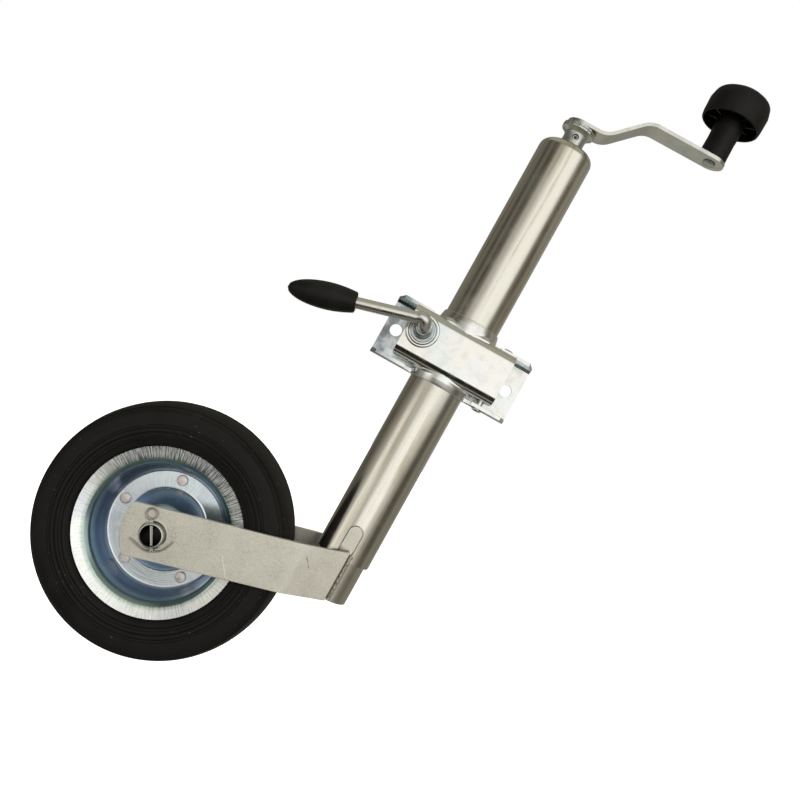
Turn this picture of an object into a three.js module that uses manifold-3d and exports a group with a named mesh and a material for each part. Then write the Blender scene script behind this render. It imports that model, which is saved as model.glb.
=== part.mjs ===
// Jockey wheel for a trailer tongue: a telescopic tube with a cranked screw, a forked wheel and a clamp.
// Millimetres. +Z runs up the tube, +Y points out of the clamp's mounting face, -X is the wheel's side.
import * as THREE from "three";
import { mergeVertices } from "three/addons/utils/BufferGeometryUtils.js";
import Module from "manifold-3d";

const wasm = await Module();
wasm.setup();

// Driving dimensions
const GAP = 0.3; // between pieces that touch
const AXIS_Y = -30; // the tube's axis, in front of the mounting face at y = 0
const ROUND = 32; // sides of a large turned piece
const SMALL_ROUND = 16; // sides of a small turned piece
const THROUGH = 120; // length of a cutter that passes right through

const TUBE = { radius: 24, wall: 2.5, bottom: -190, top: 203, shoulder: 8, mouth: 7 };
const SLOT = { width: 13, top: -158.5 };
const INNER = { radius: 21.2, wall: 2.5, bottom: -225, top: 160 };
const KEY = { width: 11.8, bottom: -179.3, top: -159.2, proud: 24.3 };

const SCREW = { radius: 9.6, bottom: -45, collarRadius: 17, collarTop: 189.7, collarBottom: 183 };
const STEM = { radius: 6.3, top: 220.5 };
const NUT = { length: 30, bore: 10.1 };
const RACE = { outer: 17.3, inner: 6.8, thickness: 2.5 };
const BALL = { radius: 2.25, circle: 12.4, count: 10, cageHalfWidth: 3.4, cageHalfHeight: 0.8 };

const BOSS = { radius: 10, bottom: 203.5, neckTop: 218.6, flangeRadius: 14.6, top: 222.7 };
const CROSS_PIN = { radius: 2.5, bore: 1.5, z: 211.3, length: 17 };
const CRANK = {
  width: 25,
  thickness: 3,
  lowTop: 226,
  highTop: 253.5,
  riseStart: 22,
  riseEnd: 50,
  bend: 18,
  reach: 109.5,
};
const KNOB = {
  stem: 11.8,
  rim: 25.8,
  rimZ: 287,
  top: 316.5,
  crown: 14,
  edge: 11,
  wall: 1.7,
  ribs: 8,
  rib: 1.5,
  bore: 4.4,
  boreTop: 296,
};
const KNOB_PIN = { radius: 4, headRadius: 5.4, headHeight: 1.5, top: 295.4 };

const WHEEL = { x: -141, z: -242.6, radius: 107.5, width: 65, rivetCircle: 42.6 };
const RIM = { sheet: 1.6, flangeRadius: 70.6, flangeOffset: 26.3, hubHole: 14.3 };
const AXLE = { radius: 10, bore: 8, half: 45 };
const HUB = { radius: 14, wall: 1.7, half: 32.6 };
const RIVET = { shank: 2.6, head: 4.8, headHeight: 1.5, count: 5, first: 100 };
const FORK = {
  thickness: 4.5,
  outer: 40,
  bendX: -31,
  endX: 4,
  slope: 0.267,
  topAtZero: -181.7,
  height: 43.5,
  pastAxle: 20,
  nose: 6,
};
const COTTER = {
  wire: 1.35,
  offset: 42.6,
  tilt: 29,
  eye: 4.3,
  eyeAt: 17,
  legAt: 12.2,
  spread: 17,
  rise: 8.8,
};
const AXLE_WASHER = { radius: 15 };
const BUSH = { length: 20 };

const BASE = { halfLength: 66, halfHeight: 27.2, sheet: 3, lipDepth: 38, lipEnd: 59, bend: 5, mouth: 32 };
const BOLT_HOLE = { radius: 5.5, x: 55 };
const CAP = { halfLength: 46, bottom: -20.6, top: 23.9, sheet: 3, front: -58, back: -20, bend: 6 };
const COLLAR = { bore: 24.7, wall: 1.6, root: 2.5, top: 33, bottom: -28, flare: 5, rearTop: 31 };
const PIVOT = { x: 39, y: -25, radius: 3, head: 4.6, headHeight: 2.1 };
const SCREW_AXIS = { x: -32.7, z: 5.6 };
const CLAMP_NUT = { flats: 19, height: 10, bore: 5.9 };
const CLAMP_WASHER = { radius: 10, thickness: 3 };
const EMBOSS = { radius: 12.4, height: 1.1, sunk: 0.2 };
const LEVER = {
  shank: 5,
  tip: -4.6,
  boss: 6.5,
  bossFront: -80,
  rod: 4.7,
  bend: 9,
  slope: 15.6,
  y: -81,
  lift: 7,
};
const GRIP = { start: 57.5, length: 55.5, radius: 11, depth: 33, fattest: 0.4, butt: 0.74 };

// A closed geometry as a solid with its faces out.
function solid(geometry) {
  const bare = new THREE.BufferGeometry().setAttribute("position", geometry.getAttribute("position"));
  bare.setIndex(geometry.getIndex());
  const merged = mergeVertices(bare, 1e-4);
  const index = merged.index.array;
  const kept = [];
  for (let i = 0; i < index.length; i += 3) {
    const [a, b, c] = [index[i], index[i + 1], index[i + 2]];
    if (a !== b && b !== c && c !== a) kept.push(a, b, c);
  }
  const build = (list) =>
    new wasm.Manifold(
      new wasm.Mesh({
        numProp: 3,
        vertProperties: merged.attributes.position.array,
        triVerts: new Uint32Array(list),
      }),
    );
  const made = build(kept);
  if (made.volume() > 0) return made;
  for (let i = 0; i < kept.length; i += 3) [kept[i + 1], kept[i + 2]] = [kept[i + 2], kept[i + 1]];
  return build(kept);
}

const join = (first, ...others) => others.reduce((whole, next) => whole.add(next), first);
const cut = (first, ...others) => others.reduce((whole, next) => whole.subtract(next), first);

// A solid turned about Z from [radius, height] points that close on themselves or on the axis.
function turnedZ(profile, sides = ROUND) {
  const points = profile.map(([r, z]) => new THREE.Vector2(r, z));
  if (profile[0][0] > 0) points.push(points[0].clone());
  return solid(new THREE.LatheGeometry(points, sides).rotateX(Math.PI / 2));
}

// The same about Y, for the wheel and its axle: the profile holds [radius, y] points.
function turnedY(profile, sides = ROUND) {
  const points = profile.map(([r, y]) => new THREE.Vector2(r, y));
  if (profile[0][0] > 0) points.push(points[0].clone());
  return solid(new THREE.LatheGeometry(points, sides));
}

const tubeProfile = (inner, outer, low, high) => [
  [inner, low],
  [outer, low],
  [outer, high],
  [inner, high],
];

// Points along an arc, both ends included, angles in degrees.
function arc(x, y, radius, from, to, steps) {
  const points = [];
  for (let i = 0; i <= steps; i++) {
    const a = THREE.MathUtils.degToRad(from + ((to - from) * i) / steps);
    points.push([x + radius * Math.cos(a), y + radius * Math.sin(a)]);
  }
  return points;
}

// Rounds the inner corners of an open line with short arcs of straight steps.
function rounded(line, radius, steps = 4) {
  const result = [line[0]];
  for (let i = 1; i < line.length - 1; i++) {
    const corner = new THREE.Vector2(...line[i]);
    const back = new THREE.Vector2(...line[i - 1]).sub(corner).normalize();
    const ahead = new THREE.Vector2(...line[i + 1]).sub(corner).normalize();
    const half = Math.acos(THREE.MathUtils.clamp(back.dot(ahead), -1, 1)) / 2;
    const reach = radius / Math.tan(half);
    const start = corner.clone().addScaledVector(back, reach);
    const end = corner.clone().addScaledVector(ahead, reach);
    const curve = new THREE.QuadraticBezierCurve(start, corner, end);
    for (const p of curve.getPoints(steps)) result.push([p.x, p.y]);
  }
  result.push(line[line.length - 1]);
  return result;
}

// The closed outline of a strip of even thickness whose middle follows an open line.
function ribbon(line, thickness) {
  const left = [];
  const right = [];
  line.forEach((point, i) => {
    const before = new THREE.Vector2(...line[Math.max(i - 1, 0)]);
    const after = new THREE.Vector2(...line[Math.min(i + 1, line.length - 1)]);
    const here = new THREE.Vector2(...point);
    const inward = here.clone().sub(before).normalize();
    const outward = after.clone().sub(here).normalize();
    const along = inward.add(outward).normalize();
    const normal = new THREE.Vector2(-along.y, along.x);
    const segment = i === 0 ? after.clone().sub(here) : here.clone().sub(before);
    const cosine = Math.max(0.5, Math.abs(segment.normalize().dot(along)));
    const offset = thickness / 2 / cosine;
    left.push([point[0] + normal.x * offset, point[1] + normal.y * offset]);
    right.unshift([point[0] - normal.x * offset, point[1] - normal.y * offset]);
  });
  return [...left, ...right];
}

const shapeOf = (points) => new THREE.Shape(points.map(([x, y]) => new THREE.Vector2(x, y)));
const extruded = (points, depth, steps = 6) =>
  new THREE.ExtrudeGeometry(shapeOf(points), { depth, bevelEnabled: false, curveSegments: steps });

// An outline of [x, z] points extruded along Y, and one of [x, y] points along Z.
const alongY = (points, from, to) =>
  solid(extruded(points, to - from).rotateX(Math.PI / 2).translate(0, to, 0));
const alongZ = (points, from, to) => solid(extruded(points, to - from).translate(0, 0, from));
// An outline of [y, z] points extruded along X.
const alongX = (points, from, to) =>
  solid(extruded(points, to - from).rotateY(Math.PI / 2).rotateX(Math.PI / 2).translate(from, 0, 0));

function box(x0, x1, y0, y1, z0, z1) {
  const block = new THREE.BoxGeometry(x1 - x0, y1 - y0, z1 - z0);
  return solid(block.translate((x0 + x1) / 2, (y0 + y1) / 2, (z0 + z1) / 2));
}

// A cylinder along Y or Z, centred at a point.
function cylinder(axis, radius, length, x, y, z, sides = SMALL_ROUND) {
  const shape = new THREE.CylinderGeometry(radius, radius, length, sides);
  if (axis === "z") shape.rotateX(Math.PI / 2);
  return solid(shape.translate(x, y, z));
}

// A round bar along a curve.
function bar(curve, radius, steps, sides = 10) {
  const section = new THREE.Shape().absarc(0, 0, radius, 0, 2 * Math.PI);
  const options = { steps, extrudePath: curve, curveSegments: sides, bevelEnabled: false };
  return solid(new THREE.ExtrudeGeometry(section, options));
}

const METAL = {
  tube: { color: 0xbdb6a8, roughness: 0.32, metalness: 1 },
  zinc: { color: 0xc9ccc9, roughness: 0.28, metalness: 1 },
  plate: { color: 0xb9b4a8, roughness: 0.55, metalness: 0.9 },
  rim: { color: 0xaebfd0, roughness: 0.25, metalness: 1 },
  rivet: { color: 0xd8c8c2, roughness: 0.4, metalness: 0.9 },
  steel: { color: 0x8f8f8c, roughness: 0.4, metalness: 1 },
  rubber: { color: 0x1c1b19, roughness: 0.75, metalness: 0 },
  plastic: { color: 0x191816, roughness: 0.5, metalness: 0 },
  bush: { color: 0xd9d6cc, roughness: 0.6, metalness: 0 },
};

const jack = new THREE.Group();

// Adds a solid to the model as a named mesh at a place.
function add(name, finish, manifold, place = [0, 0, 0], parent = jack) {
  const mesh = manifold.getMesh();
  const geometry = new THREE.BufferGeometry();
  const positions = new THREE.BufferAttribute(new Float32Array(mesh.vertProperties), 3);
  geometry.setAttribute("position", positions);
  geometry.setIndex(new THREE.BufferAttribute(new Uint32Array(mesh.triVerts), 1));
  geometry.computeVertexNormals();
  const made = new THREE.Mesh(geometry, new THREE.MeshStandardMaterial(METAL[finish]));
  made.name = name;
  made.position.set(...place);
  parent.add(made);
}

const column = new THREE.Group(); // everything on the tube's own axis
column.position.set(0, AXIS_Y, 0);
jack.add(column);
const addColumn = (name, finish, manifold) => add(name, finish, manifold, [0, 0, 0], column);

// The outer tube: its top is rolled in over the bearing, and its foot is slotted for the keys.
function outerTube() {
  const { radius, wall, bottom, top, shoulder, mouth } = TUBE;
  const centre = radius - shoulder;
  const profile = [
    [radius - wall, bottom],
    [radius, bottom],
    ...arc(centre, top - shoulder, shoulder, 0, 90, 5),
    [mouth, top],
    [mouth, top - wall],
    ...arc(centre, top - shoulder, shoulder - wall, 90, 0, 5),
  ];
  const half = SLOT.width / 2;
  const slot = [[-half, bottom - 5], [half, bottom - 5], ...arc(0, SLOT.top - half, half, 0, 180, 8)];
  addColumn("outer_tube", "tube", cut(turnedZ(profile), alongY(slot, -radius - 5, radius + 5)));
}

function thrustBearing() {
  const upper = TUBE.top - TUBE.wall - GAP;
  const { outer, inner, thickness } = RACE;
  const middle = upper - thickness - GAP - BALL.radius;
  const lower = middle - BALL.radius - GAP;
  addColumn("bearing_race_upper", "steel", turnedZ(tubeProfile(inner, outer, upper - thickness, upper)));
  addColumn("bearing_race_lower", "steel", turnedZ(tubeProfile(inner, outer, lower - thickness, lower)));
  const { circle, cageHalfWidth: w, cageHalfHeight: h } = BALL;
  let cage = turnedZ(tubeProfile(circle - w, circle + w, middle - h, middle + h));
  for (let i = 0; i < BALL.count; i++) {
    const a = (2 * Math.PI * i) / BALL.count;
    const ball = new THREE.SphereGeometry(BALL.radius, 8, 6);
    cage = cage.add(solid(ball.translate(circle * Math.cos(a), circle * Math.sin(a), middle)));
  }
  addColumn("bearing_ball_cage", "steel", cage);
}

// The lifting screw: a pinned stem on top, a thrust collar under the bearing, and the screw below.
function spindle() {
  const { radius, bottom, collarRadius, collarTop, collarBottom } = SCREW;
  const chamfer = 2;
  const profile = [
    [0, bottom],
    [radius - chamfer, bottom],
    [radius, bottom + chamfer],
    [radius, collarBottom],
    [collarRadius, collarBottom],
    [collarRadius, collarTop],
    [STEM.radius, collarTop],
    [STEM.radius, STEM.top],
    [0, STEM.top],
  ];
  const hole = cylinder("y", CROSS_PIN.radius + GAP, THROUGH, 0, 0, CROSS_PIN.z);
  addColumn("lifting_screw", "steel", cut(turnedZ(profile, SMALL_ROUND), hole));
}

function crankBoss() {
  const bore = STEM.radius + GAP;
  const { radius, bottom, neckTop, flangeRadius, top } = BOSS;
  const profile = [
    [bore, bottom],
    [radius, bottom],
    [radius, neckTop - 2],
    [radius + 1.5, neckTop],
    [flangeRadius, neckTop + 0.6],
    [flangeRadius, top],
    [bore, top],
  ];
  const hole = cylinder("y", CROSS_PIN.radius + GAP, THROUGH, 0, 0, CROSS_PIN.z);
  addColumn("crank_boss", "zinc", cut(turnedZ(profile), hole));
  const pin = cylinder("y", CROSS_PIN.radius, CROSS_PIN.length, 0, 0, CROSS_PIN.z);
  const hollow = cylinder("y", CROSS_PIN.bore, CROSS_PIN.length + 2, 0, 0, CROSS_PIN.z);
  addColumn("roll_pin", "steel", cut(pin, hollow));
}

// The crank: a flat strip with an S-bend, rounded at both ends.
function crankArm() {
  const { width, thickness, lowTop, highTop, riseStart, riseEnd, bend, reach } = CRANK;
  const half = width / 2;
  const low = lowTop - thickness / 2;
  const high = highTop - thickness / 2;
  const past = half + 4;
  const line = [[-past, low], [riseStart, low], [riseEnd, high], [reach + past, high]];
  const strip = alongY(ribbon(rounded(line, bend), thickness), -half, half);
  const outline = [...arc(0, 0, half, 90, 270, 12), ...arc(reach, 0, half, -90, 90, 12)];
  const blank = strip.intersect(alongZ(outline, low - 20, high + 20));
  const hole = cylinder("z", KNOB_PIN.radius + GAP, THROUGH, reach, 0, high);
  addColumn("crank_arm", "zinc", cut(blank, hole));
}

function knobPin() {
  const under = CRANK.highTop - CRANK.thickness - GAP;
  const { radius, headRadius, headHeight, top } = KNOB_PIN;
  const profile = [
    [0, under - headHeight],
    [headRadius - 1.2, under - headHeight],
    [headRadius, under - headHeight + 1],
    [headRadius, under],
    [radius, under],
    [radius, top - 0.8],
    [radius - 0.8, top],
    [0, top],
  ];
  add("knob_pin", "steel", turnedZ(profile, SMALL_ROUND), [CRANK.reach, 0, 0], column);
}

// The knob: a mushroom moulding, hollow underneath, with ribs from its stem to its rim.
function knob() {
  const { stem, rim, rimZ, top, crown, edge, wall, bore, boreTop } = KNOB;
  const foot = CRANK.highTop + GAP;
  const ceiling = top - crown;
  const profile = [
    [bore, foot],
    [stem - 0.8, foot],
    [stem, foot + 0.8],
    [stem - 0.3, foot + 18],
    [stem + 0.4, rimZ],
    [stem + 2, ceiling],
    [rim - wall - 4, ceiling],
    [rim - wall - 0.6, ceiling - 3.5],
    [rim - wall, rimZ],
    [rim - 1.2, rimZ],
    [rim - 0.6, rimZ + 0.8],
    [rim, top - 2 - edge],
    ...arc(rim - 0.6 - edge, top - 2 - edge, edge, 15, 80, 5),
    [rim - edge - 7, top - 0.4],
    [0, top],
    [0, boreTop],
    [bore, boreTop],
  ];
  const points = profile.map(([r, z]) => new THREE.Vector2(r, z));
  points.push(points[0].clone());
  let body = solid(new THREE.LatheGeometry(points, ROUND).rotateX(Math.PI / 2));
  const rib = new THREE.BoxGeometry(rim - wall - stem, KNOB.rib, ceiling - rimZ - 3);
  rib.translate((rim - wall + stem) / 2, 0, (ceiling + rimZ + 5) / 2);
  for (let i = 0; i < KNOB.ribs; i++) {
    body = body.add(solid(rib.clone().rotateZ((2 * Math.PI * (i + 0.5)) / KNOB.ribs)));
  }
  add("knob", "plastic", body, [CRANK.reach, 0, 0], column);
}

// The inner tube slides in the outer one on two keys, and carries the screw's nut in its top.
function innerTube() {
  const { radius, wall, bottom, top } = INNER;
  addColumn("inner_tube", "plate", turnedZ(tubeProfile(radius - wall, radius, bottom, top)));
  const nutRadius = radius - wall - GAP;
  addColumn("lifting_nut", "steel", turnedZ(tubeProfile(NUT.bore, nutRadius, top - NUT.length, top)));
  const half = KEY.width / 2;
  const face = [[-half, KEY.bottom], [half, KEY.bottom], ...arc(0, KEY.top - half, half, 0, 180, 8)];
  const around = cylinder("z", radius + GAP, THROUGH, 0, 0, KEY.bottom, 48);
  addColumn("key_front", "plate", cut(alongY(face, -KEY.proud, -radius + 2), around));
  addColumn("key_rear", "plate", cut(alongY(face, radius - 2, KEY.proud), around));
}

// One fork arm: a sloping strip that turns in and meets the inner tube. side is -1 in front, 1 behind.
function forkArm(name, side) {
  const { thickness, outer, bendX, endX, slope, topAtZero, height, pastAxle, nose: sag } = FORK;
  const middle = outer - thickness / 2;
  const atTube = INNER.radius + GAP + thickness / 2 + 0.4;
  const farX = WHEEL.x - 2 * pastAxle;
  const line = [[farX, side * middle], [bendX, side * middle], [endX + 8, side * atTube]];
  const strip = alongZ(ribbon(rounded(line, 14), thickness), WHEEL.z - THROUGH, topAtZero + THROUGH);
  const topAt = (x) => topAtZero + slope * x;
  const tipX = WHEEL.x - pastAxle;
  const nose = [];
  for (let i = 0; i <= 8; i++) {
    const t = i / 8;
    const bulge = sag * 4 * t * (1 - t);
    nose.push([tipX - 5.5 + 11 * t - bulge, topAt(tipX - 5.5) - t * (height - 1.3)]);
  }
  const outline = [...nose, [endX, topAt(endX) - height], [endX, topAt(endX)]];
  const blank = strip.intersect(alongY(outline, -outer - 10, outer + 10));
  const hole = cylinder("y", AXLE.radius + 0.8, height, WHEEL.x, side * middle, WHEEL.z, 32);
  const around = cylinder("z", INNER.radius + GAP, THROUGH, 0, 0, topAtZero - 20, 48);
  addColumn(name, "plate", cut(blank, hole, around));
}

const wheel = new THREE.Group();
wheel.position.set(WHEEL.x, AXIS_Y, WHEEL.z);
jack.add(wheel);
const addWheel = (name, finish, manifold) => add(name, finish, manifold, [0, 0, 0], wheel);

function tyre() {
  const half = WHEEL.width / 2;
  const r = WHEEL.radius;
  const side = [
    [56, 5],
    [62, 25],
    [71.2, 25],
    [71.4, 28.2],
    [73.6, half - 1.2],
    [80, half],
    [95, half - 0.5],
    [101, half - 3.5],
    [104.6, half - 9],
    [106.6, half - 17],
    [r, half - 27],
  ];
  const mirrored = side.map(([radius, y]) => [radius, -y]);
  addWheel("tyre", "rubber", turnedY([...side, ...mirrored.reverse()], 48));
}

// One pressed half of the rim, from the hub's dome out to the flange that holds the tyre.
function rimHalf(name, side) {
  const { sheet, flangeRadius, flangeOffset, hubHole } = RIM;
  const flat = sheet / 2 + GAP / 2;
  const line = [
    [hubHole, 21],
    [22, 20.6],
    [28, 11],
    [34.5, flat],
    [50.5, flat],
    [54, 9],
    [57.6, flangeOffset - 3],
    [60.5, flangeOffset],
    [flangeRadius, flangeOffset],
  ];
  const profile = ribbon(line, sheet).map(([r, y]) => [r, side * y]);
  let half = turnedY(profile);
  for (const [x, z] of rivetPlaces()) {
    half = half.subtract(cylinder("y", RIVET.shank + GAP, 12, x, 0, z, 12));
  }
  addWheel(name, "rim", half);
}

function rivetPlaces() {
  const places = [];
  for (let i = 0; i < RIVET.count; i++) {
    const a = THREE.MathUtils.degToRad(RIVET.first + (360 * i) / RIVET.count);
    places.push([WHEEL.rivetCircle * Math.cos(a), WHEEL.rivetCircle * Math.sin(a)]);
  }
  return places;
}

function rimRivets() {
  const face = RIM.sheet + GAP / 2 + GAP;
  const { shank, head, headHeight } = RIVET;
  const top = face + headHeight;
  const dome = [[head, face], [head, face + 0.5], [head - 1.3, top], [0, top]];
  const upper = [[shank, face], ...dome];
  const lower = upper.map(([r, y]) => [r, -y]).reverse();
  rivetPlaces().forEach(([x, z], i) => {
    add("rim_rivet_" + (i + 1), "rivet", turnedY([...lower, ...upper], 12), [x, 0, z], wheel);
  });
}

function hubAndAxle() {
  const { radius, wall, half } = HUB;
  addWheel("hub_sleeve", "steel", turnedY(tubeProfile(radius - wall, radius - 0.1, -half, half)));
  const bushOuter = radius - wall - GAP;
  const bush = (low) => turnedY(tubeProfile(AXLE.radius + GAP, bushOuter, low, low + BUSH.length));
  addWheel("hub_bush_front", "bush", bush(-half));
  addWheel("hub_bush_rear", "bush", bush(half - BUSH.length));
  let axle = turnedY(tubeProfile(AXLE.bore, AXLE.radius, -AXLE.half, AXLE.half), 32);
  for (const side of [-1, 1]) {
    const bore = COTTER.wire + 0.35;
    const hole = new THREE.CylinderGeometry(bore, bore, THROUGH, 12).rotateX(Math.PI / 2);
    hole.rotateY(THREE.MathUtils.degToRad(-COTTER.tilt)).translate(0, side * COTTER.offset, 0);
    axle = axle.subtract(solid(hole));
  }
  addWheel("axle", "steel", axle);
  const inside = FORK.outer - FORK.thickness - GAP;
  const washer = (low, high) =>
    turnedY(tubeProfile(AXLE.radius + 0.4, AXLE_WASHER.radius, low, high), 32);
  addWheel("axle_washer_front", "zinc", washer(-inside, -half - GAP));
  addWheel("axle_washer_rear", "zinc", washer(half + GAP, inside));
}

// A split pin through the axle's end: an eye, a straight body and two legs spread round the axle.
function cotterPin(name, side) {
  const { wire, offset, tilt, eye, eyeAt, legAt, spread, rise } = COTTER;
  const straight = solid(
    new THREE.CylinderGeometry(wire, wire, eyeAt - eye + legAt, 12)
      .rotateX(Math.PI / 2)
      .translate(0, 0, (eyeAt - eye - legAt) / 2),
  );
  const loop = new THREE.TorusGeometry(eye, wire * 0.8, 6, 14).rotateX(Math.PI / 2);
  const ring = solid(loop.translate(0, 0, eyeAt));
  const leg = (direction) => {
    const foot = -legAt;
    const line = [[0, foot], [3.5, foot - 0.5], [spread * 0.6, foot + rise * 0.28], [spread, foot + rise]];
    const points = line.map(([x, z]) => new THREE.Vector3(direction * x, 0, z));
    return bar(new THREE.CatmullRomCurve3(points), wire * 0.85, 8, 3);
  };
  const pin = join(straight, ring, leg(1), leg(-1));
  const mesh = pin.rotate([0, -tilt, 0]).translate([0, side * offset, 0]);
  addWheel(name, "steel", mesh);
}

// A U-shaped channel of even sheet along X, from its web at one depth to its lips' tips at another.
function channel(back, tip, low, high, sheet, bend, halfLength) {
  const inset = (sheet / 2) * Math.sign(tip - back);
  const line = [
    [tip, low + sheet / 2],
    [back + inset, low + sheet / 2],
    [back + inset, high - sheet / 2],
    [tip, high - sheet / 2],
  ];
  return alongX(ribbon(rounded(line, bend, 4), sheet), -halfLength, halfLength);
}

// Half of a drawn collar round the tube: it flares out of the sheet's face and rises to its rim.
function collar(sheetFace, rim, half) {
  const { bore, wall, root, flare } = COLLAR;
  const up = Math.sign(rim - sheetFace);
  const rise = Math.min(flare, 0.7 * Math.abs(rim - sheetFace));
  const inner = sheetFace - up * root;
  const sweep = arc(bore + wall + flare, 0, 1, 270, 180, 4).map(([x, z]) => {
    const out = (x - bore - wall - flare) * flare;
    return [bore + wall + flare + out, sheetFace + up * rise * (1 + z)];
  });
  const profile = [[bore, inner], [bore + wall + flare, inner], ...sweep, [bore + wall, rim], [bore, rim]];
  return turnedZ(profile).translate([0, AXIS_Y, 0]).intersect(half);
}

// What the cap's collars may fill: they stop behind its rounded front edges.
function frontHalf() {
  const { front, bend, bottom, top } = CAP;
  const reach = THROUGH / 2;
  const highEdge = arc(front + bend, top - bend, bend, 180, 137, 3);
  const lowEdge = arc(front + bend, bottom + bend, bend, 223, 180, 3);
  const y = highEdge[highEdge.length - 1][0];
  const back = AXIS_Y - 0.5;
  const outline = [...lowEdge, ...highEdge, [y, reach], [back, reach], [back, -reach], [y, -reach]];
  return alongX(outline, -reach, reach);
}

// The clamp's base: a channel that bolts to the drawbar, its lips cut out and collared for the tube.
function clampBase() {
  const { halfLength, halfHeight, sheet, lipDepth, lipEnd, bend, mouth } = BASE;
  let base = channel(0, -lipDepth, -halfHeight, halfHeight, sheet, bend - sheet / 2, halfLength);
  const outline = [
    [-halfLength, 1],
    [halfLength, 1],
    [halfLength, -7],
    [lipEnd, -lipDepth - 1],
    [-lipEnd, -lipDepth - 1],
    [-halfLength, -7],
  ];
  base = base.intersect(alongZ(outline, -halfHeight - 1, halfHeight + 1));
  const reach = THROUGH / 2;
  const rear = box(-reach, reach, AXIS_Y + 0.5, -0.5, -reach, reach);
  base = join(base, collar(halfHeight, COLLAR.rearTop, rear), collar(-halfHeight, COLLAR.bottom, rear));
  const bore = cylinder("z", COLLAR.bore, THROUGH, 0, AXIS_Y, 0, ROUND);
  const opening = box(-mouth, mouth, AXIS_Y - reach, AXIS_Y, -reach, reach);
  const pivot = cylinder("z", PIVOT.radius + GAP, THROUGH, PIVOT.x, PIVOT.y, 0);
  const bolts = [-1, 1].map((s) => cylinder("y", BOLT_HOLE.radius, 20, s * BOLT_HOLE.x, 0, 0, 32));
  add("clamp_base", "zinc", cut(base, bore, opening, pivot, ...bolts));
}

// The clamp's cap: a shorter channel nested in the base, with the front half of each collar.
function clampCap() {
  const { halfLength, bottom, top, sheet, front, back, bend } = CAP;
  let cap = channel(front, back, bottom, top, sheet, bend - sheet / 2, halfLength);
  const outline = [
    [-halfLength, front - 1],
    [halfLength, front - 1],
    [halfLength, back - 8],
    [halfLength - 4, back + 1],
    [-halfLength + 4, back + 1],
    [-halfLength, back - 8],
  ];
  cap = cap.intersect(alongZ(outline, bottom - 1, top + 1));
  cap = join(cap, collar(top, COLLAR.top, frontHalf()), collar(bottom, COLLAR.bottom, frontHalf()));
  const bore = cylinder("z", COLLAR.bore, THROUGH, 0, AXIS_Y, 0, ROUND);
  const way = box(-COLLAR.bore, COLLAR.bore, AXIS_Y, 10, -THROUGH / 2, THROUGH / 2);
  const pivot = cylinder("z", PIVOT.radius + GAP, THROUGH, PIVOT.x, PIVOT.y, 0);
  const screw = cylinder("y", LEVER.shank + 0.8, 20, SCREW_AXIS.x, front, SCREW_AXIS.z);
  const emboss = new THREE.TorusGeometry(EMBOSS.radius, EMBOSS.height, 6, 28).rotateX(Math.PI / 2);
  const ring = solid(emboss.translate(SCREW_AXIS.x, front + EMBOSS.sunk, SCREW_AXIS.z));
  add("clamp_cap", "zinc", cut(join(cap, ring), bore, way, pivot, screw));
}

function clampPivot() {
  const { radius, head, headHeight, x, y } = PIVOT;
  const face = BASE.halfHeight + GAP;
  const profile = [
    [0, -face - headHeight],
    [head - 1.2, -face - headHeight],
    [head, -face - 0.8],
    [head, -face],
    [radius, -face],
    [radius, face],
    [head, face],
    [head, face + 0.8],
    [head - 1.2, face + headHeight],
    [0, face + headHeight],
  ];
  add("clamp_pivot_pin", "zinc", turnedZ(profile, SMALL_ROUND), [x, y, 0]);
}

// The clamp's nut is welded inside the base, and the lever's screw draws the cap onto the tube with it.
function clampNut() {
  const { flats, height, bore } = CLAMP_NUT;
  const face = -BASE.sheet - GAP;
  const hex = new THREE.CylinderGeometry(flats / Math.sqrt(3), flats / Math.sqrt(3), height, 6);
  const body = solid(hex.translate(0, face - height / 2, 0));
  const hole = cylinder("y", bore, height + 4, 0, face - height / 2, 0);
  add("clamp_nut", "zinc", cut(body, hole), [SCREW_AXIS.x, 0, SCREW_AXIS.z]);
}

const washerBack = CAP.front - GAP;

function clampWasher() {
  const { radius, thickness } = CLAMP_WASHER;
  const profile = tubeProfile(LEVER.shank + 2 * GAP, radius, washerBack - thickness, washerBack);
  add("clamp_washer", "zinc", turnedY(profile, 32), [SCREW_AXIS.x, 0, SCREW_AXIS.z]);
}

// The lever: the screw and its boss, with the handle rod bent out of its head and swept to one side.
function clampLever() {
  const { shank, tip, boss, bossFront, rod, bend, slope, y, lift } = LEVER;
  const washerFront = washerBack - CLAMP_WASHER.thickness;
  const screw = turnedY([
    [0, bossFront + 3],
    [boss - 1, bossFront + 3],
    [boss, bossFront + 4],
    [boss, washerFront - GAP],
    [shank, washerFront - GAP],
    [shank, tip - 1],
    [shank - 1, tip],
    [0, tip],
  ], SMALL_ROUND);
  const a = THREE.MathUtils.degToRad(slope);
  const along = new THREE.Vector3(-Math.cos(a), 0, -Math.sin(a));
  const corner = new THREE.Vector3(0, y, lift);
  const start = new THREE.Vector3(0, bossFront + 7, 2.2);
  const path = new THREE.CurvePath();
  const turnIn = corner.clone().addScaledVector(along, bend);
  path.add(new THREE.QuadraticBezierCurve3(start, corner, turnIn));
  path.add(new THREE.LineCurve3(turnIn, corner.clone().addScaledVector(along, GRIP.start + 30)));
  const handle = bar(path, rod, 16, 8);
  add("clamp_lever", "zinc", join(screw, handle), [SCREW_AXIS.x, 0, SCREW_AXIS.z]);
}

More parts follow.
